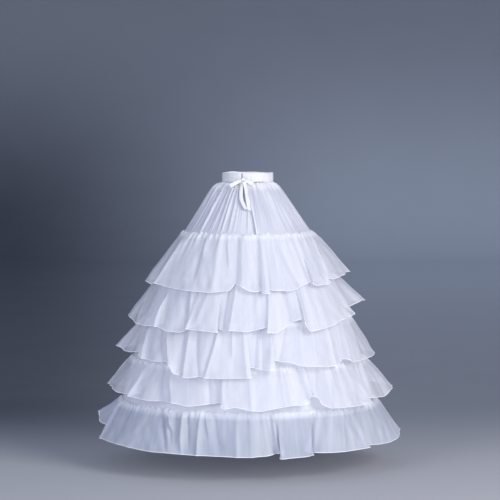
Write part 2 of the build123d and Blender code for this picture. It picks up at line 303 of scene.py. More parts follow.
def cloth_finish(name, light, shade, cover, streak, creases, heading=0.0):
    """Thin plain-woven cloth: fine threads, bluer streaks that paint fold shade, see-through but where it is
    gathered; by the seam the thick gathers are paler, with painted light on them.
    """
    recipe = Recipe(name)
    flat = recipe.place("UV")
    across, down, _ = recipe.axes(flat)
    weave = across.wave(thread_pitch) * down.wave(thread_pitch)
    slubs = recipe.noise(flat, slub_scale)
    # Stretched streaks of the shade colour are painted fold shade; with the slubs they also vary how
    # see-through the cloth is.
    painted_fold_shade_streaks = recipe.noise(flat, streak_scale).between(*streak_range)
    crumples = recipe.noise(flat, crumple_scale, crumple_detail)
    tone = slubs * (1.0 - streak) + painted_fold_shade_streaks * streak
    # By the seam the colour turns paler and the cloth more opaque: the gathers lie thick there, and the
    # paler colour is also painted light on their puffs.
    thick_and_painted_light = down.between(heading_depth, heading_edge) * heading
    return recipe.finish(
        Base_Color=recipe.colour(thick_and_painted_light, recipe.colour(tone, shade, light), heading_pale_and_painted_light),
        Roughness=swayed(cloth_roughness, slubs),
        Alpha=(tone - 0.5) * (cover_swing * (1.0 - cover)) + cover + thick_and_painted_light * (1.0 - cover),
        Normal=recipe.bump(weave * thread_height + crumples * creases, *cloth_bump),
        Sheen_Weight=cloth_sheen,
        Sheen_Roughness=cloth_sheen_roughness,
    )


lining_bottom = seam_levels[-1] - lining_tail
lining_levels = np.linspace(seam_levels[0], lining_bottom, lining_rows)[:, None]
lining_turns = np.linspace(0.0, full_turn, lining_steps, endpoint=False)[None, :]
between_seams = np.interp(lining_levels, seam_levels[::-1], np.arange(tier_count)[::-1])
sag = lining_sag * np.sin(lining_sag_count * lining_turns) ** 2 * np.sin(math.pi * between_seams) ** 2
lining_points = turned(lining_radius(lining_levels) - lining_inset - sag, lining_turns, lining_levels)
lining_slant = math.hypot(seam_radii[-1] - seam_radii[0], seam_levels[0] - seam_levels[-1]) + lining_tail
lining_around = full_turn * (seam_radii[0] + seam_radii[-1]) / 2.0
lining_material = cloth_finish("lining_cloth", lining_light, lining_shade, lining_cover,
                               streak=0.3, creases=0.3)
lining = cloth_object("lining_skirt", lining_points, lining_around, lining_slant, True, lining_material)
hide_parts("skirt_lining")
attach(lining, "root")


# Hoop pockets
# Woven tapes stitched along both edges to the inside of the lining, one over each hoop.
# The strip slides in them, and they show as paler bands where the cloth is single.
pocket_rows = 9
pocket_width = 0.021
pocket_light = (0.86, 0.87, 0.90, 1.0)
pocket_shade = (0.78, 0.79, 0.84, 1.0)
pocket_cover = 0.97
pocket_room = 0.0012
pocket_flat_share = 1.5
pocket_fall_share = 2.4
pocket_material = cloth_finish("pocket_tape", pocket_light, pocket_shade, pocket_cover,
                               streak=0.2, creases=0.1)
for number in range(1, hoop_count + 1):
    low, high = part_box(f"hoop_pocket_{number}")
    strip_low, strip_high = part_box(f"hoop_{number}")
    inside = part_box(f"hoop_sleeve_{number}")[0][1] - pocket_room
    pocket_levels = np.linspace(high[2], low[2], pocket_rows)[:, None]
    seat = lining_radius(pocket_levels) - 2.0 * lining_inset
    strip_middle = (strip_low[2] + strip_high[2]) / 2.0
    from_strip = np.abs(pocket_levels - strip_middle) / (high[2] - low[2])
    reach = np.clip(pocket_flat_share - pocket_fall_share * from_strip, 0.0, 1.0)
    pocket_radius = seat + (np.minimum(inside, seat) - seat) * reach
    pocket_points = turned(pocket_radius, lining_turns, pocket_levels)
    around = full_turn * inside
    pocket_name = f"pocket_tape_{number}"
    pocket = cloth_object(pocket_name, pocket_points, around, pocket_width, True, pocket_material)
    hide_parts(f"hoop_pocket_{number}")
    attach(pocket, "root")


# Ruffles
# Five deep strips of crisp sheer cloth, gathered along the top edge and sewn to the lining.
# Each falls in wide soft flutes, with laps and narrow valleys between them, to a narrow rolled hem.
# Pale and bluer shade colours of the ruffles, between which the slubs and the painted fold-shade streaks
# run.
ruffle_light = (0.90, 0.905, 0.955, 1.0)
ruffle_shade = (0.82, 0.83, 0.92, 1.0)
# The lowest ruffle has darker, bluer colours: painted shade and bluish light from below, not another cloth.
low_painted_shade_pale = (0.775, 0.80, 0.87, 1.0)
low_painted_shade_dark = (0.56, 0.61, 0.755, 1.0)
hem_light = (0.93, 0.935, 0.96, 1.0)
ruffle_cover = 0.55
low_cover = 0.66
ruffle_streak = 0.6
ruffle_creases = 0.9
# How much paler and more opaque each ruffle is by its seam, partly painted light.
ruffle_heading = 0.55
low_heading = 0.6
ruffle_steps = 1080
crest_stand_offs = (0.044, 0.052, 0.050, 0.059, 0.054)
valley_stand_offs = (0.0195, 0.0145, 0.0183, 0.007, 0.008)
fold_round = 0.007

# Where the camera stands, so that each panel hangs where it is seen
camera_place = (0.0085, -9.53, 0.302)
camera_pitch = math.radians(3.44)
camera_lens = 185.4
sensor_width = 36.0
picture_pixels = 500.0
focal_pixels = picture_pixels * camera_lens / sensor_width

# Hems in picture pixels, panel by panel from left to right: 1 laps over the panel before it,
# -1 starts under that panel, 0 leaves an open valley between the two and 2 runs on from it
hem_panels = (
    ((2, ((145.8, 281.5), (148.6, 284.5))),
     (1, ((156.5, 281), (167, 287), (185, 290.5), (210, 292.7), (229.5, 290.6))),
     (0, ((238, 284.3), (248.5, 291.3), (258, 292.4))),
     (1, ((261, 293.2), (271.7, 294))),
     (-1, ((272, 290.5), (291, 291), (302, 287.5))),
     (1, ((312.4, 283), (316.5, 286), (326, 284), (333.5, 281.5))),
     (-1, ((336.4, 279.4), (347, 271.8)))),
    ((2, ((128.8, 316.8), (132.8, 319.9), (144, 325.5), (152, 326.3))),
     (1, ((152.7, 325.5), (158.3, 327), (165, 331), (176.5, 333))),
     (1, ((185, 328.8), (195, 330), (218.5, 332.8))),
     (-1, ((221, 330.7), (228, 330.2), (247, 332.4), (262, 329))),
     (1, ((265.5, 332.5), (276, 333.5), (288, 326), (297, 321.5))),
     (1, ((304, 323), (310.4, 332), (328, 327.6), (344.7, 319.2), (356, 313.5))),
     (-1, ((352.3, 306.8), (362.6, 300)))),
    ((2, ((116.2, 345.6), (122.2, 350), (127, 352))),
     (1, ((137, 354), (140, 357.5), (151, 360.7), (158, 361.7), (167, 361), (171, 367), (174, 374),
          (187, 378.3), (199, 376.7), (208, 378.5), (225, 378.7), (253, 378))),
     (-1, ((264.5, 370.6), (270, 371.3), (276.8, 371))),
     (-1, ((282.8, 362.4), (289, 362.2), (303, 366.4), (331, 366.6), (338.7, 365), (344.5, 361.2))),
     (0, ((350, 359.4), (354, 362.3), (370.6, 357)))),
    ((2, ((110.1, 385.8), (117.6, 392.2), (126, 394.8))),
     (1, ((128.3, 395.6), (140, 399.4), (150, 401.3), (160, 401.5), (169, 402), (187, 406.8),
          (204, 405.3))),
     (1, ((219.5, 406.5), (223, 409.5), (236, 407.6), (250, 411), (260, 411.8), (287, 406.6),
          (310.5, 404.4), (313.3, 399))),
     (0, ((320.6, 398), (322, 404.5), (331, 408.4), (345, 407.8), (374, 402.6))),
     (-1, ((375.3, 398.3), (384.6, 396.2), (392.2, 389.5)))),
    ((2, ((98.9, 410.5), (98.7, 416), (99.6, 421.5), (102, 424.8))),
     (1, ((99.2, 436.6), (115, 443.6), (132.5, 448.3), (150.6, 451.7), (165, 453), (180, 454.3),
          (200, 455.7), (246, 457.7), (268, 457))),
     (1, ((279, 459.3), (286.3, 458.8), (300, 457.4), (316.3, 455.4))),
     (-1, ((315, 453.2), (332, 452.8), (372, 447.2))),
     (-1, ((373, 445.5), (391.3, 442.4), (399.4, 436.5)))),
)

# Folds in picture pixels, from the top across and down to the bottom across and down, then how far
# each stands out, or in where it is a valley, and how wide it is, both in millimetres
fold_lines = (
    ((187.5, 235, 159.5, 282, 18, 24), (201.5, 237, 191.5, 272, -9, 12), (206.5, 236, 200, 252, 8, 9),
     (220, 239, 213.5, 278, 7, 17), (227.9, 246, 227.9, 262, 7, 6), (237.5, 237, 235.7, 284, -8, 10),
     (241.5, 238, 242, 276, 8, 12), (255.8, 234, 260.5, 291, -11, 9), (262, 238, 266, 290, 6, 12),
     (277.9, 236, 301, 283, -10, 16), (292, 240, 309, 279, 5, 10), (314, 238, 327.5, 279, 8, 14),
     (321, 240, 332, 279, -9, 9), (326, 242, 341, 275, 5, 10)),
    ((150, 289, 138, 322, 9, 13), (163, 289, 150.5, 326, -9, 12), (167.5, 290, 155.5, 325, 10, 9),
     (185.5, 296, 180, 330, -9, 9), (191, 296, 186, 328, 8, 9), (208.5, 292, 196.6, 318, 5, 10),
     (227, 291, 220.5, 331, -9, 7), (236.2, 286, 229.6, 330, 9, 9), (252, 290, 253, 329, -8, 18),
     (268.5, 296, 267.5, 331, 7, 12), (286, 290, 296, 319, -11, 9), (296, 292, 306, 325, 5, 14)),
    ((126.5, 324, 121, 348, -6, 8), (150, 333, 142, 356, 10, 9), (160, 336, 160, 359, -6, 12),
     (168.5, 334, 172, 370, 8, 8), (182, 335, 178.5, 372, -10, 10), (189.5, 335, 183.5, 374, 8, 9),
     (195.5, 338, 196.5, 374, -9, 11), (213, 337, 204, 368, -8, 8), (217.5, 335, 205.5, 375, 10, 8),
     (232.3, 334, 231.6, 352, 6, 7), (243.8, 334, 247.4, 375, 8, 11), (256, 335, 254.5, 376, -10, 9),
     (262.3, 335, 262.7, 369, -6, 7), (271, 337, 270.4, 370, 8, 9), (284.8, 333, 280.5, 361, -10, 9),
     (297, 336, 295, 365, 5, 14), (328, 330, 335.5, 364, 7, 10), (334.5, 330, 343, 361, -10, 10),
     (344, 335, 351, 360, 6, 9)),
    ((145.9, 364.8, 129.5, 395, 9, 12), (156, 362, 156.5, 401, -13, 24), (171, 379, 172, 402, 8, 12),
     (206.7, 383, 207, 405, -7, 12), (222.5, 380, 224.5, 408, 5, 9), (249.5, 380, 251.5, 409, 7, 9),
     (281.5, 372, 286.5, 405, 8, 11), (287, 376, 293, 405, -6, 9), (300, 370, 313, 399, -12, 9),
     (305, 368, 318.5, 396, 8, 8), (320, 376, 320, 396, -9, 7), (330, 374, 332, 405, 5, 14),
     (364, 372, 375.6, 395, -8, 8), (369, 371, 383, 393, 5, 9)),
    ((117.4, 403.9, 101.5, 436, 9, 11), (158.6, 411, 160.7, 440, -15, 9), (163, 409, 163.9, 424, 11, 6),
     (165.6, 414.4, 166, 435.5, -10, 7), (173, 414, 171.5, 435.5, -12, 8), (181.8, 410, 179.7, 441, 12, 8),
     (186, 414, 185, 439, -10, 7), (199.7, 409, 196.6, 447, 12, 7), (203.5, 408, 205.6, 431, 9, 6),
     (213, 418, 218, 453, -7, 16), (236.4, 416, 237, 452, 6, 10), (249.7, 418, 251.7, 455, 7, 10),
     (269, 417, 277.5, 455, -13, 7), (272, 412, 281.5, 457, 7, 8), (283, 419, 285.5, 458, 5, 5),
     (315.8, 415, 313.8, 453, -10, 6), (331, 425, 331, 450, -6, 18), (343, 414, 345, 449, 5, 10),
     (380.5, 413, 391, 441, -8, 8)),
)

# Made-up unevenness
scatter_step = 12.9898
scatter_seed = 78.233
scatter_gain = 43758.5453
ease_span = 3.0


def hashed(count, seed):
    """Even spread of made-up numbers from 0 to 1 that is the same on every run."""
    index = np.arange(count) + 1.0
    return (np.sin(index * scatter_step + seed * scatter_seed) * scatter_gain) % 1.0


def eased(ring, reach):
    """Ring of values averaged with their neighbours over a given reach."""
    span = int(ease_span * reach) + 1
    weights = np.exp(-0.5 * (np.arange(-span, span + 1) / reach) ** 2)
    padded = np.concatenate((ring[-span:], ring, ring[:span]))
    return np.convolve(padded, weights / weights.sum(), mode="valid")


# Sight lines from the camera
edge_side = 0.985
sight_tries = 8


def seen_place(pixel, tier, stand_off):
    """Turn and level where the camera sees the cloth at a picture pixel, and the flare it needs there."""
    across = (pixel[0] - picture_pixels / 2.0) / focal_pixels
    upward = (picture_pixels / 2.0 - pixel[1]) / focal_pixels
    sine, cosine = math.sin(camera_pitch), math.cos(camera_pitch)
    level = seam_levels[tier]
    nearness = -seam_radii[tier]
    for _ in range(sight_tries):
        radius = float(lining_radius(level)) + stand_off
        away = nearness - camera_place[1]
        depth = away * cosine - (level - camera_place[2]) * sine
        sideways = camera_place[0] + across * depth
        side = np.clip(sideways / radius, -edge_side, edge_side)
        nearness = -radius * math.sqrt(1.0 - side ** 2)
        away = nearness - camera_place[1]
        level = camera_place[2] + away * (upward * cosine - sine) / (cosine + upward * sine)
    return math.asin(side), level, max(abs(sideways) / edge_side - radius, 0.0)


# Panels of the far side
back_panel_count = 7
back_panel_parts = (0.0, 0.35, 0.7, 0.94)
back_lap_cycle = (0, 1, -1, 0, 1, 0, -1)
back_seed = 3.0
back_gap = 0.25
back_gap_sway = 0.2
back_sway = 0.024
right_settle = 0.5
left_settle = 0.22


def back_panels(tier, last, first):
    """Panels of the hem's far side, from the last seen point round to the first one."""
    crest = crest_stand_offs[tier]
    seen = [seen_place(pixel, tier, crest)[1] for _, pixels in hem_panels[tier] for pixel in pixels]
    usual = float(np.mean(seen))
    part_count = len(back_panel_parts)
    sway = hashed(part_count * back_panel_count, tier + back_seed) - 0.5
    whole = first[0] + full_turn - last[0]
    panels = []
    for number in range(back_panel_count):
        start = (number + back_gap + back_gap_sway * sway[number]) / (back_panel_count + back_gap)
        end = (number + 1.0 + back_gap_sway * sway[number + 1]) / (back_panel_count + back_gap)
        points = []
        for step, part in enumerate(back_panel_parts):
            share = start + (end - start) * part
            settled = min(share / right_settle, (1.0 - share) / left_settle, 1.0)
            middle = math.sin(0.5 * math.pi * settled) ** 2
            ends = last[1] + (first[1] - last[1]) * share
            level = ends + (usual + back_sway * sway[part_count * number + step] - ends) * middle
            flare = (last[2] + (first[2] - last[2]) * share) * (1.0 - middle)
            points.append((last[0] + whole * share, level, flare))
        panels.append((back_lap_cycle[(number + tier) % back_panel_count] if number else 2, points))
    return panels


# Laps and valleys between the panels
lap_width = 0.034
lap_deep = 0.9
lap_bend = 0.55
lap_inside_share = 0.8
lap_halfway_share = 0.4
lap_start_rises = {0: 0.75, 1: 1.0, -1: 0.62, 2: 0.95}
lap_end_rises = {0: 0.75, 1: 0.62, -1: 1.0, 2: 0.95}
panel_seed = 17.0
panel_rise = (0.97, 0.12)
hidden_lift = 0.012
valley_lift = 0.003


def hem_controls(tier):
    """Turn, stand-off and level of points round the hem, with each lap's hidden fold between its panels."""
    crest = crest_stand_offs[tier]
    panels = []
    for lap, pixels in hem_panels[tier]:
        panels.append((lap, [seen_place(pixel, tier, crest) for pixel in pixels]))
    panels += back_panels(tier, panels[-1][1][-1], panels[0][1][0])
    spread = crest - valley_stand_offs[tier]
    lap_turn = lap_width / (float(lining_radius(panels[0][1][0][1])) + crest)
    controls = []
    for number, (lap, points) in enumerate(panels):
        following_lap, following = panels[(number + 1) % len(panels)]
        bows = hashed(len(points), tier * panel_seed + number)
        for step, (turn, level, flare) in enumerate(points):
            rise = swayed(panel_rise, bows[step] - 0.5)
            if step == 0:
                rise = lap_start_rises[lap]
            elif step == len(points) - 1:
                rise = lap_end_rises[following_lap]
            controls.append((turn, crest - (1.0 - rise) * spread + flare, level))
        turn_end, level_end, flare_end = points[-1]
        turn_next, level_next, flare_next = following[0]
        if number == len(panels) - 1:
            turn_next += full_turn
        hidden = max(level_end, level_next) + (hidden_lift if following_lap else valley_lift)
        flare = min(flare_end, flare_next)
        inside = crest - lap_inside_share * spread + flare
        halfway = crest - lap_halfway_share * spread + flare
        if following_lap == 1:
            controls.append((turn_next + lap_deep * lap_turn, inside, hidden))
            controls.append((turn_next + lap_bend * lap_turn, halfway, (hidden + level_next) / 2.0))
        elif following_lap == -1:
            controls.append((turn_end - lap_bend * lap_turn, halfway, (hidden + level_end) / 2.0))
            controls.append((turn_end - lap_deep * lap_turn, inside, hidden))
        elif following_lap == 0:
            controls.append(((turn_end + turn_next) / 2.0, inside, hidden))
    return np.array(controls)


def step_lengths(points):
    """Distance from each point to the next one, row by row where the points lie in rows."""
    return np.linalg.norm(np.diff(points, axis=0), axis=-1)


def directions(vectors):
    """The same vectors, each with a length of 1."""
    return vectors / np.linalg.norm(vectors, axis=1)[:, None]


def hem_line(tier):
    """Turn, stand-off and level of the hem, evenly spaced along the cloth, and its length."""
    controls = hem_controls(tier)
    looped = np.vstack((controls, controls[:1] + np.array([full_turn, 0.0, 0.0])))
    plan = turned(lining_radius(looped[:, 2]) + looped[:, 1], looped[:, 0], looped[:, 2])
    travelled = np.concatenate(([0.0], np.cumsum(step_lengths(plan))))
    wanted = np.linspace(0.0, travelled[-1], ruffle_steps, endpoint=False)
    even = looped[0, 0] + full_turn * np.arange(ruffle_steps) / ruffle_steps
    reach = fold_round * ruffle_steps / travelled[-1]
    turn = even + eased(np.interp(wanted, travelled, looped[:, 0]) - even, reach)
    stand_off = eased(np.interp(wanted, travelled, looped[:, 1]), reach)
    level = eased(np.interp(wanted, travelled, looped[:, 2]), reach)
    return turn, stand_off, level, travelled[-1]


def turn_between(one, two):
    """Turn from one place to another by the shorter way round."""
    return (one - two + math.pi) % full_turn - math.pi


# Gathers under a seam
gather_shift = 0.8
gather_spread = (0.16, 0.26)
gather_height = (0.2, 0.8)
gather_seed_steps = (0.0, 0.3, 0.6, 0.9)


def gathers(turns, fallen, count, seed, runs):
    """Heights of uneven gathers that fade out below a seam, the strongest near 1."""
    heights = np.zeros(np.broadcast(turns, fallen).shape)
    pitch = full_turn / count
    shift, size, width, run = (hashed(count, seed + part) for part in gather_seed_steps)
    for number in range(count):
        away = turn_between(turns, (number + gather_shift * shift[number]) * pitch)
        spread = pitch * swayed(gather_spread, width[number])
        length = runs[0] + (runs[1] - runs[0]) * run[number] ** 2
        height = swayed(gather_height, size[number])
        heights += height * np.exp(-(away / spread) ** 2 - (fallen / length) ** 2)
    return heights


# Folds that are seen
millimetre = 0.001
fold_scale = 0.00125
fold_top_share = 0.4


def seen_folds(tier):
    """Turn and level of each seen fold's top and bottom, how far it stands out and its width."""
    folds = []
    for across, down, across_end, down_end, height, width in fold_lines[tier]:
        top = seen_place((across, down), tier, fold_top_share * crest_stand_offs[tier])
        bottom = seen_place((across_end, down_end), tier, crest_stand_offs[tier])
        folds.append((top[0], top[1], bottom[0], bottom[1], fold_scale * height, millimetre * width))
    return folds


# Pull of the folds along the heading
heading_reach = 16.0
heading_hold = 0.25
heading_shift = 0.15
heading_ease = 26.0
heading_outer_bias = 0.5
heading_soft_share = 0.5
heading_even = 0.1


def heading_line(tier, turn, stand_off, level):
    """Turn of each column at the seam, so that the seen folds run straight from seam to hem."""
    even = turn[0] + full_turn * np.arange(ruffle_steps) / ruffle_steps
    heading = even + eased(turn - even, ruffle_steps / heading_ease)
    pull = np.zeros(ruffle_steps)
    weight = np.full(ruffle_steps, heading_hold)
    for turn_top, top, turn_end, bottom, _, _ in seen_folds(tier):
        slope = (turn_end - turn_top) / (top - bottom)
        at_hem = turn_top + slope * (top - level)
        column = np.argmin(np.abs(turn_between(turn, at_hem)) - heading_outer_bias * stand_off)
        at_seam = turn_top + slope * (top - seam_levels[tier])
        away = turn_between(even, even[column]) * ruffle_steps / full_turn
        share = np.exp(-0.5 * (away / heading_reach) ** 2)
        pull += share * np.clip(turn_between(at_seam, heading[column]), -heading_shift, heading_shift)
        weight += share
    pulled = np.maximum.accumulate(heading + eased(pull / weight, heading_soft_share * heading_reach))
    return (1.0 - heading_even) * np.minimum(pulled, pulled[0] + full_turn) + heading_even * even


# Folds of the far side, and every fold's shape
back_fold_count = 15
back_fold_seeds = (21.0, 23.0, 27.0)
back_fold_start = 0.2
back_fold_shift = 0.6
back_fold_drop = 0.01
back_fold_lean = 0.04
back_fold_height = (0.005, 0.006)
back_fold_width = (0.007, 0.008)
fold_softness = 0.35
fold_sharpness = 1.4
fold_top_fade = 1.3
fold_end_fade = 3.0
fold_fade_rate = 2.0


def fold_heights(tier, turns, level, hem_level):
    """How far the seen folds, and some like them at the far side, push the cloth in or out."""
    folds = seen_folds(tier)
    size, shift, width = (hashed(back_fold_count, tier + seed) for seed in back_fold_seeds)
    top = seam_levels[tier] - back_fold_drop
    bottom = float(hem_level.mean())
    for number in range(back_fold_count):
        along = number + back_fold_start + back_fold_shift * shift[number]
        place = math.pi / 2.0 + math.pi * along / back_fold_count
        place_top = place + back_fold_lean * (size[number] - 0.5)
        height = swayed(back_fold_height, size[number]) * (-1.0) ** number
        folds.append((place_top, top, place, bottom, height, swayed(back_fold_width, width[number])))
    total = np.zeros_like(level)
    radius = lining_radius(level)
    for turn_top, top, turn_end, bottom, height, width in folds:
        share = (top - level) / (top - bottom)
        middle = turn_top + (turn_end - turn_top) * share
        away = turn_between(turns, middle) * radius / width
        fade = np.clip(fold_top_fade + fold_fade_rate * share, 0.0, 1.0)
        fade = fade * np.clip(fold_end_fade - fold_fade_rate * share, 0.0, 1.0)
        ridge = np.exp(fold_sharpness * (fold_softness - np.sqrt(away ** 2 + fold_softness ** 2)))
        total += height * ridge * fade
    return total


# Fall of the cloth from seam to hem
ruffle_rows = 30
row_crowding = 1.2
swell_power = 0.80
swing_power = 0.90
gather_pitch = 0.021
gather_depth = 0.0070
gather_sink = 0.3
gather_runs = (0.05, 0.36)
pucker_seed = 5.0
heading_lip = 0.0070
lip_rise = 0.012
lip_fall = 0.1
heading_frill = 0.007
frill_seed = 31.0
frill_runs = (0.02, 0.05)
fold_onset = 6.0
soft_swell = 0.0009
soft_wave_count = 6
soft_seed = 7.0
soft_around = 9.0
soft_down = 1.7
soft_down_start = 2.0
soft_bend = 5.0
nearest_room = 0.002
cloth_room = 0.0008


def ruffle_points(tier):
    """Rows of points of one ruffle from its seam down, and the flat length of its cloth."""
    seam = seam_levels[tier]
    turn, hem_stand_off, hem_level, length = hem_line(tier)
    heading_turn = heading_line(tier, turn, hem_stand_off, hem_level)
    fallen = np.linspace(0.0, 1.0, ruffle_rows)[:, None] ** row_crowding
    level = seam + (hem_level[None, :] - seam) * fallen
    swing = heading_turn[None, :] + (turn - heading_turn)[None, :] * fallen ** swing_power
    stand_off = hem_stand_off[None, :] * fallen ** swell_power
    count = int(full_turn * seam_radii[tier] / gather_pitch)
    puckers = gather_depth * (gathers(swing, fallen, count, tier + pucker_seed, gather_runs) - gather_sink)
    frill = np.clip(gathers(swing, fallen, count, tier + frill_seed, frill_runs), 0.0, 1.0)
    level = level + heading_frill * frill
    lip = heading_lip * (1.0 - np.exp(-fallen / lip_rise)) * np.exp(-fallen / lip_fall)
    folds = fold_heights(tier, swing, level, hem_level) * np.clip(fold_onset * fallen, 0.0, 1.0)
    soft = np.zeros_like(level)
    for wave in range(1, soft_wave_count + 1):
        phase_around, phase_down, phase_bend = full_turn * hashed(3, tier * soft_seed + wave)
        around = np.sin(wave * soft_around * turn + phase_around)[None, :]
        bend = np.sin(soft_bend * turn + phase_bend)[None, :]
        downward = np.sin((soft_down_start + wave) * soft_down * fallen + phase_down + bend)
        soft += soft_swell * around * downward
    stand_off = stand_off + puckers + lip + folds + soft * fallen
    stand_off = np.maximum(stand_off, nearest_room * fallen) + cloth_room
    return turned(lining_radius(level) + stand_off, swing, level), length


def mean_fall(rows):
    """Mean length of a sheet's columns from its top row to its bottom one."""
    return float(step_lengths(rows).sum(axis=0).mean())


# Rolled hem
hem_roll = 0.0015
hem_sides = 6


def roll_hem(piece, hem_points, material):
    """Adds the narrow rolled hem, a thin round of cloth along the bottom edge, to the sheet."""
    mesh = bmesh.new()
    mesh.from_mesh(piece.data)
    ahead = directions(np.roll(hem_points, -1, axis=0) - np.roll(hem_points, 1, axis=0))
    upward = directions(np.array([0.0, 0.0, 1.0]) - ahead * ahead[:, 2:3])
    outward = np.cross(ahead, upward)
    rings = []
    for side in range(hem_sides):
        angle = full_turn * side / hem_sides
        ring = hem_points + hem_roll * (math.cos(angle) * upward + math.sin(angle) * outward)
        rings.append([mesh.verts.new(point) for point in ring])
    for side in range(hem_sides):
        one = rings[side]
        two = rings[(side + 1) % hem_sides]
        for here in range(len(one)):
            following = (here + 1) % len(one)
            face = mesh.faces.new((one[here], one[following], two[following], two[here]))
            face.smooth = True
            face.material_index = 1
    mesh.to_mesh(piece.data)
    mesh.free()
    piece.data.materials.append(material)


ruffle_material = cloth_finish("ruffle_organza", ruffle_light, ruffle_shade, ruffle_cover,
                               ruffle_streak, ruffle_creases, ruffle_heading)
low_painted_shade_material = cloth_finish("low_organza_painted_shade", low_painted_shade_pale, low_painted_shade_dark, low_cover,
                            ruffle_streak, ruffle_creases, low_heading)
hem_material = cloth_finish("ruffle_hem", hem_light, ruffle_light, cover=1.0, streak=0.2, creases=0.1)
for tier in range(tier_count):
    points, length = ruffle_points(tier)
    slant = mean_fall(points)
    # The lowest tier takes the copy of the cloth with painted shade.
    material = low_painted_shade_material if tier == tier_count - 1 else ruffle_material
    ruffle = cloth_object(f"ruffle_cloth_{tier + 1}", points, length, slant, True, material)
    roll_hem(ruffle, points[-1], hem_material)
    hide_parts(f"ruffle_{tier + 1}")
    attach(ruffle, "root")


# Yoke
# The plain top of the skirt, gathered into the waistband and sewn to the lining's first seam.
# It is cut open below the tie, and the right edge of that placket laps over the left one.
# Pale and bluer shade colours of the yoke; its strong streaks paint the gathers' fold shade.
yoke_light = (0.90, 0.905, 0.955, 1.0)
yoke_shade = (0.74, 0.75, 0.87, 1.0)
yoke_cover = 0.78
yoke_steps = 760
yoke_rows = 26
yoke_inset = 0.0016
yoke_gather_count = 96
yoke_gather_runs = (0.35, 1.9)
yoke_seed = 41.0
pleat_sink = 0.5
pleat_fade_power = 12
yoke_left_depth = 0.0130
yoke_right_depth = 0.0080
slit_across = -0.0215
placket_slope = math.tan(math.radians(16.0))
placket_bow = 0.009
placket_lap = 0.014
placket_lift = 0.0090
placket_hem_columns = 2
hip_swell = 0.022
hip_lean = 0.25
hip_rise = 0.04
placket_dip = 0.0070
placket_reach = 0.035

yoke_low, yoke_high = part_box("skirt_yoke")
band_low, band_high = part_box("waistband")
yoke_top_radius = band_high[0] - yoke_inset
yoke_down = np.linspace(0.0, 1.0, yoke_rows)[:, None]
yoke_levels = yoke_high[2] + (yoke_low[2] - yoke_high[2]) * yoke_down
yoke_base = yoke_top_radius + (seam_radii[0] - yoke_top_radius) * yoke_down
placket_across = slit_across + (yoke_high[2] - yoke_levels) * placket_slope
placket_across += placket_bow * np.sin(math.pi * yoke_down)
placket_turns = np.arcsin(placket_across / yoke_base)
yoke_along = np.linspace(0.0, 1.0, yoke_steps)[None, :]
yoke_turns = placket_turns + yoke_along * (full_turn + placket_lap / yoke_base)
ridges = gathers(yoke_turns, yoke_down, yoke_gather_count, yoke_seed, yoke_gather_runs)
leftness = 0.5 - 0.5 * np.sin(yoke_turns)
pleat_depth = yoke_right_depth + (yoke_left_depth - yoke_right_depth) * leftness
pleats = pleat_depth * (ridges - pleat_sink) * (1.0 - yoke_down ** pleat_fade_power)
over = placket_lift * np.exp(-yoke_along * full_turn * yoke_base / placket_reach)
over = over - placket_dip * np.exp((yoke_along - 1.0) * full_turn * yoke_base / placket_reach)
hips = hip_swell * (1.0 - hip_lean * np.sin(yoke_turns)) * np.sin(yoke_turns) ** 2
hips = hips * (1.0 - np.exp(-yoke_down / hip_rise)) * (1.0 - yoke_down)
yoke_points = turned(yoke_base + hips + pleats + over, yoke_turns, yoke_levels)
yoke_slant = math.hypot(seam_radii[0] - yoke_top_radius, yoke_high[2] - yoke_low[2])
yoke_around = full_turn * (seam_radii[0] + yoke_top_radius) / 2.0
# The yoke turns paler under the band, partly thick gathers and partly painted light against the band's
# shade.
yoke_material = cloth_finish("yoke_cloth", yoke_light, yoke_shade, yoke_cover,
                             streak=0.75, creases=0.4, heading=0.7)
yoke = cloth_object("yoke_cloth", yoke_points, yoke_around, yoke_slant, False, yoke_material)
yoke.data.materials.append(hem_material)
at_edge = np.arange(yoke_steps - 1) < placket_hem_columns
yoke.data.polygons.foreach_set("material_index", np.tile(at_edge, yoke_rows - 1).astype(int))
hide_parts("skirt_yoke")
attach(yoke, "root")


# Placket facing
# A straight strip of the skirt's cloth sewn behind the opening, so that its edges can't tear.
# It follows the slant of the placket and lies close behind the yoke.
facing_width = 0.030
facing_columns = 9
facing_rows = 14
facing_inset = 0.016

facing_low, facing_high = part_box("placket_facing")
facing_levels = np.linspace(facing_high[2], facing_low[2], facing_rows)[:, None]
facing_base = np.interp(facing_levels, (yoke_low[2], yoke_high[2]), (seam_radii[0], yoke_top_radius))
facing_middle = np.interp(facing_levels, yoke_levels[::-1, 0], placket_across[::-1, 0])
facing_across = facing_middle + facing_width * np.linspace(-0.5, 0.5, facing_columns)[None, :]
facing_turns = np.arcsin(facing_across / facing_base)
facing_points = turned(facing_base - facing_inset, facing_turns, facing_levels)
facing_slant = mean_fall(facing_points)
facing = cloth_object("facing_strip", facing_points, facing_width, facing_slant, False, lining_material)
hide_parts("placket_facing")
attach(facing, "root")


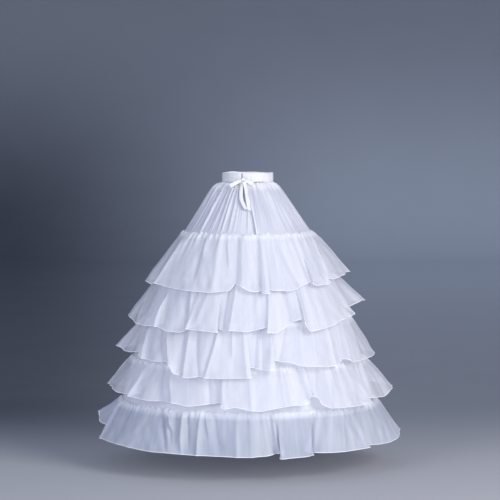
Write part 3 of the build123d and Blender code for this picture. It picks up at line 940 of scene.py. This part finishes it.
# Waistband
# A straight strip of the skirt's cloth, doubled over the yoke's gathers and stitched along both edges.
# It makes the tunnel for the drawstring, and a slit in it lets the two ends out.
band_light = (0.84, 0.835, 0.845, 1.0)
band_shade = (0.77, 0.77, 0.80, 1.0)
band_steps = 300
band_gap = 0.006
band_underlap = 0.012
band_dip = 0.014
band_wall = 0.0042
band_pucker = 0.0009
band_pucker_seed = 59.0
band_pucker_reach = 3.0
band_pucker_gain = 6.0
band_wave = 0.012
band_wave_seed = 61.0
band_wave_reach = 6.0
band_flat_halves = 4.2
underlap_start = 0.4
band_edge_shares = ((0.25, -1.0), (0.8, -1.0), (1.0, -0.92), (1.0, -0.78), (0.9, -0.72), (1.0, -0.6),
                    (1.06, 0.0), (1.0, 0.6), (0.9, 0.72), (1.0, 0.78), (1.0, 0.92), (0.8, 1.0),
                    (0.25, 1.0), (0.0, 0.92), (0.0, 0.0), (0.0, -0.92), (0.25, -1.0))
band_crumple_scale = (70.0, 24.0, 1.0)
band_crumple_height = 0.8
band_thread_height = 0.15
stitch_pitch = 0.0032
stitch_range = (0.35, 0.6)
stitch_height = 0.15
band_roughness = (0.55, 0.2)
band_bump = (0.5, 0.001)


def band_finish():
    """Doubled cloth, crumpled, with the fine ripple that its stitches draw up."""
    recipe = Recipe("band_cloth")
    flat = recipe.place("UV")
    across, down, _ = recipe.axes(flat)
    weave = across.wave(thread_pitch) * down.wave(thread_pitch)
    crumples = recipe.noise(flat, band_crumple_scale, crumple_detail)
    stitches = across.wave(stitch_pitch).between(*stitch_range)
    relief = weave * band_thread_height + crumples * band_crumple_height + stitches * stitch_height
    return recipe.finish(
        # The colour darkens where the crumple relief dips: painted shade in its hollows.
        Base_Color=recipe.colour(crumples, band_shade, band_light),
        Roughness=swayed(band_roughness, crumples),
        Normal=recipe.bump(relief, *band_bump),
        Sheen_Weight=cloth_sheen,
    )


band_outer = band_high[0]
band_middle = (band_low[2] + band_high[2]) / 2.0
band_half = (band_high[2] - band_low[2]) / 2.0
slit_turn = math.asin(slit_across / band_outer)
half_gap = band_gap / 2.0 / band_outer
band_end = slit_turn + full_turn - half_gap
band_turns = np.linspace(slit_turn + half_gap, band_end + band_underlap / band_outer, band_steps)[None, :]
edge_shares = np.array(band_edge_shares)
puckers = eased(hashed(band_steps, band_pucker_seed) - 0.5, band_pucker_reach)[None, :]
puckers = band_pucker * puckers * band_pucker_gain
under = np.clip((band_turns - band_end) * band_outer / band_gap + underlap_start, 0.0, 1.0)
band_radius = band_outer - band_wall * (1.0 - edge_shares[:, :1]) + puckers * edge_shares[:, :1]
band_radius -= band_dip * under ** 2 * (3.0 - 2.0 * under)
band_levels = band_middle + band_half * edge_shares[:, 1:]
waves = eased(hashed(band_steps, band_wave_seed) - 0.5, band_wave_reach)[None, :]
band_levels = band_levels + band_wave * waves
band_points = turned(band_radius, band_turns, band_levels)
band_around = full_turn * band_outer
band_flat = band_flat_halves * band_half
band_material = band_finish()
band = cloth_object("band_doubled", band_points, band_around, band_flat, False, band_material)
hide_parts("waistband")
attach(band, "root")


# Drawstring
# A narrow woven tape that runs through the waistband's tunnel, with both ends out at the slit.
# The ends come out side by side behind the knot of the bow.
tape_width = 0.013
tape_light = (0.90, 0.895, 0.885, 1.0)
tape_shade = (0.84, 0.84, 0.84, 1.0)
tape_steps = 160
tape_columns = 5
tape_cup = 0.0006
tunnel_drop = 0.006
lead_half_gap = 0.0025
lead_shift = 0.006
twill_pitch = 0.0012
twill_slant = 0.6
twill_share = 0.4
wear_scale = (90.0, 90.0, 1.0)
tape_roughness = (0.6, 0.15)
tape_bump = (0.4, 0.0004)
tape_sheen = 0.15


def tape_finish():
    """Cotton tape with slanting ribs, a little worn."""
    recipe = Recipe("cotton_tape")
    flat = recipe.place("UV")
    across, down, _ = recipe.axes(flat)
    ribs = (across + down * twill_slant).wave(twill_pitch)
    wear = recipe.noise(flat, wear_scale)
    tone = ribs * twill_share + wear * (1.0 - twill_share)
    return recipe.finish(
        Base_Color=recipe.colour(tone, tape_shade, tape_light),
        Roughness=swayed(tape_roughness, wear),
        Normal=recipe.bump(ribs, *tape_bump),
        Sheen_Weight=tape_sheen,
    )


def tape_rows(line, sideways, widths):
    """Rows of points of a flat tape along a line, cupped a little across its width."""
    ahead = directions(np.gradient(line, axis=0))
    facing_out = np.cross(sideways, ahead)
    rows = []
    for share in np.linspace(-0.5, 0.5, tape_columns):
        lift = tape_cup * (1.0 - 4.0 * share ** 2)
        rows.append(line + sideways * (widths * share)[:, None] + facing_out * lift)
    return np.array(rows)


def travel(line):
    """Length of a line of points."""
    return float(step_lengths(line).sum())


tape_material = tape_finish()
string_low, string_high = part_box("drawstring")
tunnel_radius = string_high[0] - tape_cup
lead_turn = lead_half_gap / tunnel_radius
string_turns = np.linspace(slit_turn + lead_turn, slit_turn + full_turn - lead_turn, tape_steps)
string_line = turned(tunnel_radius, string_turns, np.array(band_middle - tunnel_drop))
lead_out = np.array([lead_shift, string_low[1] - string_line[0][1], 0.0])
string_line = np.vstack((string_line[:1] + lead_out, string_line, string_line[-1:] + lead_out))
upright = np.tile((0.0, 0.0, 1.0), (len(string_line), 1))
string_points = tape_rows(string_line, upright, np.full(len(string_line), tape_width))
string_length = travel(string_line)
string = cloth_object("drawstring_tape", string_points, string_length, tape_width, False, tape_material)
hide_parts("drawstring")
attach(string, "root")


# Bow
# The drawstring's ends tied in a small flat bow, with a long loop on the left and a short one on the right.
# The knot between them is one wrap of the same tape.
knot_back = 0.0994
knot_shift = 0.006
knot_depth = 0.012
knot_wrap_width = 0.012
knot_half_height = 0.0078
loop_steps = 60
loop_depth = 0.008
loop_sag = 0.002
loop_blunt_power = 0.8
loop_open_power = 0.3
pinch_width = (0.70, 0.48)
pinch_power = 0.7
wrap_lean = (0.94, 0.0, 0.34)
wrap_swell = (0.9, 0.1)
loop_shapes = ((-1.0, 0.055, 24.0), (1.0, 0.037, 23.0))

knot_middle = np.array([slit_across + knot_shift, -knot_back - knot_depth / 2.0, band_middle - tunnel_drop])
bow_rows = []
loop_share = np.linspace(0.0, 1.0, loop_steps)
for side, loop_length, slant in loop_shapes:
    lean = math.radians(slant)
    outwards = np.array([side * math.cos(lean), 0.0, -math.sin(lean)])
    across = np.array([side * math.sin(lean), 0.0, math.cos(lean)])
    arch = np.sin(math.pi * loop_share)
    reach = loop_length * arch ** loop_blunt_power
    opening = -loop_depth / 2.0 * np.sin(full_turn * loop_share) * arch ** loop_open_power
    loop_line = knot_middle + reach[:, None] * outwards + opening[:, None] * np.array([0.0, 1.0, 0.0])
    loop_line[:, 2] -= loop_sag * (reach / loop_length) ** 2
    pinch = tape_width * swayed(pinch_width, arch ** pinch_power)
    bow_rows.append((tape_rows(loop_line, np.tile(across, (loop_steps, 1)), pinch), travel(loop_line)))
wrap_turn = np.linspace(0.0, full_turn, loop_steps)
wrap_shape = np.stack((np.zeros(loop_steps), -knot_depth / 2.0 * np.sin(wrap_turn),
                       knot_half_height * np.cos(wrap_turn)), axis=-1)
wrap_side = np.tile(wrap_lean, (loop_steps, 1))
wrap_width = knot_wrap_width * swayed(wrap_swell, np.cos(2.0 * wrap_turn))
bow_rows.append((tape_rows(knot_middle + wrap_shape, wrap_side, wrap_width), travel(wrap_shape)))
bow_parts = [cloth_object("bow_tape", rows, run, tape_width, False, tape_material) for rows, run in bow_rows]
bpy.ops.object.select_all(action="DESELECT")
for part in bow_parts:
    part.select_set(True)
bow = bow_parts[0]
bpy.context.view_layer.objects.active = bow
bpy.ops.object.join()
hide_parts("drawstring_bow")
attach(bow, "root")


# Tie ends
# The two free ends of the drawstring, which hang from the knot and lie down the slope of the yoke.
# The left one bows out and crosses towards the right one near its slanted cut.
tail_routes = {
    "left": ((-0.0201, -0.1032, -0.0145), (-0.0206, -0.1032, -0.0245), (-0.0230, -0.1159, -0.0395),
             (-0.0248, -0.1296, -0.0595), (-0.0222, -0.1492, -0.0805), (-0.0130, -0.1638, -0.1000),
             (-0.0035, -0.1766, -0.1140)),
    "right": ((-0.0109, -0.1076, -0.0145), (-0.0100, -0.1076, -0.0245), (-0.0065, -0.1202, -0.0395),
              (-0.0035, -0.1338, -0.0595), (0.0000, -0.1532, -0.0805), (0.0035, -0.1678, -0.1025),
              (0.0072, -0.1804, -0.1180)),
}
tail_twists = {"left": (0.5, -0.4), "right": (-0.5, -0.1)}
tail_cut_share = 0.024
tail_outward = (0.0, -1.0, 0.35)
tail_order = 3
tail_smoothness = 12


def tail_line(name, route):
    """Points along the smooth line that the route's points steer."""
    curve = bpy.data.curves.new(name, "CURVE")
    curve.dimensions = "3D"
    spline = curve.splines.new("NURBS")
    spline.points.add(len(route) - 1)
    for point, place in zip(spline.points, route):
        point.co = (*place, 1.0)
    spline.order_u = tail_order
    spline.use_endpoint_u = True
    spline.resolution_u = tail_smoothness
    guide = bpy.data.objects.new(name, curve)
    bpy.context.collection.objects.link(guide)
    mesh = bpy.data.meshes.new_from_object(guide)
    line = np.array([vertex.co for vertex in mesh.vertices])
    bpy.data.objects.remove(guide)
    bpy.data.meshes.remove(mesh)
    return line


for side, route in tail_routes.items():
    line = tail_line(f"tail_guide_{side}", route)
    ahead = directions(np.gradient(line, axis=0))
    level_side = directions(np.cross(ahead, np.array(tail_outward)))
    third = np.cross(ahead, level_side)
    start_twist, end_twist = tail_twists[side]
    twist = np.linspace(start_twist, end_twist, len(line))[:, None]
    sideways = np.cos(twist) * level_side + np.sin(twist) * third
    points = tape_rows(line, sideways, np.full(len(line), tape_width))
    shares = np.linspace(0.0, 1.0, len(line))
    for column, row in enumerate(points):
        cut = 1.0 - tail_cut_share * column / (tape_columns - 1)
        places = [np.interp(shares * cut, shares, row[:, axis]) for axis in range(3)]
        points[column] = np.stack(places, axis=-1)
    tail = cloth_object(f"tail_tape_{side}", points, travel(line), tape_width, False, tape_material)
    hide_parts(f"tie_end_{side}")
    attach(tail, "root")


# Studio
# A pale floor that sweeps up into a grey-blue backdrop painted with light, dark at the left and lighter to
# the right, a large soft lamp from the right and a weaker fill.
# The camera stands well back, a little above the waist, and looks slightly down.
floor_drop = 0.09
floor_size = 28.0
backdrop_height = 10.0
sweep_radius = 2.5
sweep_steps = 24
backdrop_fan = 9.6
lit_fan = (-0.098, 0.05)
lit_depth = (1.0, 12.0)
lit_near_share = 0.4
even_heights = (-0.9, 1.1)
ground_edge = (-0.2, 1.8)
paper_grain_scale = (3.0, 3.0, 3.0)
paper_grain_swing = 0.05
paper_roughness = 0.9
floor_level = solid_box[0][2] - floor_drop
backdrop_painted_shade = (0.09, 0.10, 0.125, 1.0)
backdrop_painted_light = (0.60, 0.645, 0.695, 1.0)
floor_colour = (0.46, 0.465, 0.49, 1.0)
air_colour = (0.68, 0.76, 1.0, 1.0)
air_strength = 0.45
skirt_middle = (0.0, 0.0, -0.5)
lamps = {
    "key_lamp": {"place": (3.5, -4.2, 1.5), "size": 3.2, "power": 238.0, "colour": (1.0, 0.98, 0.96)},
    "fill_lamp": {"place": (-3.2, -5.0, 0.6), "size": 3.0, "power": 122.0, "colour": (0.86, 0.91, 1.0)},
}


def pick_edges(piece, wanted):
    """Selects only the edges whose two ends are wanted."""
    bpy.ops.object.mode_set(mode="EDIT")
    bpy.ops.mesh.select_mode(type="EDGE")
    bpy.ops.mesh.select_all(action="DESELECT")
    bpy.ops.object.mode_set(mode="OBJECT")
    for edge in piece.data.edges:
        edge.select = all(wanted(piece.data.vertices[corner].co) for corner in edge.vertices)
    bpy.ops.object.mode_set(mode="EDIT")


bpy.ops.object.select_all(action="DESELECT")
bpy.ops.mesh.primitive_plane_add(size=floor_size, location=(0.0, 0.0, floor_level))
floor = bpy.context.object
floor.name = "studio_floor"
bpy.ops.object.transform_apply(location=True)
pick_edges(floor, lambda end: end.y > 0.0)
bpy.ops.mesh.extrude_region_move(TRANSFORM_OT_translate={"value": (0.0, 0.0, backdrop_height)})
pick_edges(floor, lambda end: end.y > 0.0 and end.z < floor_level + sweep_radius)
bpy.ops.mesh.bevel(offset=sweep_radius, segments=sweep_steps, affect="EDGES")
bpy.ops.object.mode_set(mode="OBJECT")
bpy.ops.object.shade_smooth()
paper = Recipe("studio_paper")
paper_place = paper.place("Object")
paper_across, paper_away, paper_up = paper.axes(paper_place)
paper_grain = paper.noise(paper_place, paper_grain_scale)
# Painted light on the backdrop: dark at the left, lighter to the right and further back, evening out higher
# up.
fan = paper_across / (paper_away + backdrop_fan)
lit_side = fan.between(*lit_fan) * (paper_away.between(*lit_depth) * (1.0 - lit_near_share) + lit_near_share)
lit_side = lit_side + (0.5 - lit_side) * paper_up.between(*even_heights)
lit_side = lit_side + (paper_grain - 0.5) * paper_grain_swing
wall_painted_light = paper.colour(lit_side, backdrop_painted_shade, backdrop_painted_light)
ground = 1.0 - paper_away.between(*ground_edge)
paper_colour_and_painted_light = paper.colour(ground, wall_painted_light, floor_colour)
floor.data.materials.append(paper.finish(Base_Color=paper_colour_and_painted_light, Roughness=paper_roughness))


def soft_lamp(name, place, size, power, colour):
    """Round soft lamp that points at the middle of the skirt."""
    lamp = bpy.data.lights.new(name, "AREA")
    lamp.shape = "DISK"
    lamp.size = size
    lamp.energy = power
    lamp.color = colour
    holder = bpy.data.objects.new(name, lamp)
    holder.location = place
    reach = np.array(skirt_middle) - np.array(place)
    tilt = math.atan2(math.hypot(reach[0], reach[1]), -reach[2])
    holder.rotation_euler = (tilt, 0.0, math.atan2(reach[1], reach[0]) - math.pi / 2.0)
    bpy.context.collection.objects.link(holder)


for name, lamp in lamps.items():
    soft_lamp(name, **lamp)
world = bpy.data.worlds.new("studio_air")
world.use_nodes = True
world.node_tree.nodes["Background"].inputs["Color"].default_value = air_colour
world.node_tree.nodes["Background"].inputs["Strength"].default_value = air_strength
bpy.context.scene.world = world

camera_data = bpy.data.cameras.new("photo_camera")
camera_data.lens = camera_lens
camera_data.sensor_width = sensor_width
camera = bpy.data.objects.new("photo_camera", camera_data)
camera.location = camera_place
camera.rotation_euler = (math.pi / 2.0 - camera_pitch, 0.0, 0.0)
bpy.context.collection.objects.link(camera)
bpy.context.scene.camera = camera
bpy.context.scene.view_settings.view_transform = "Standard"
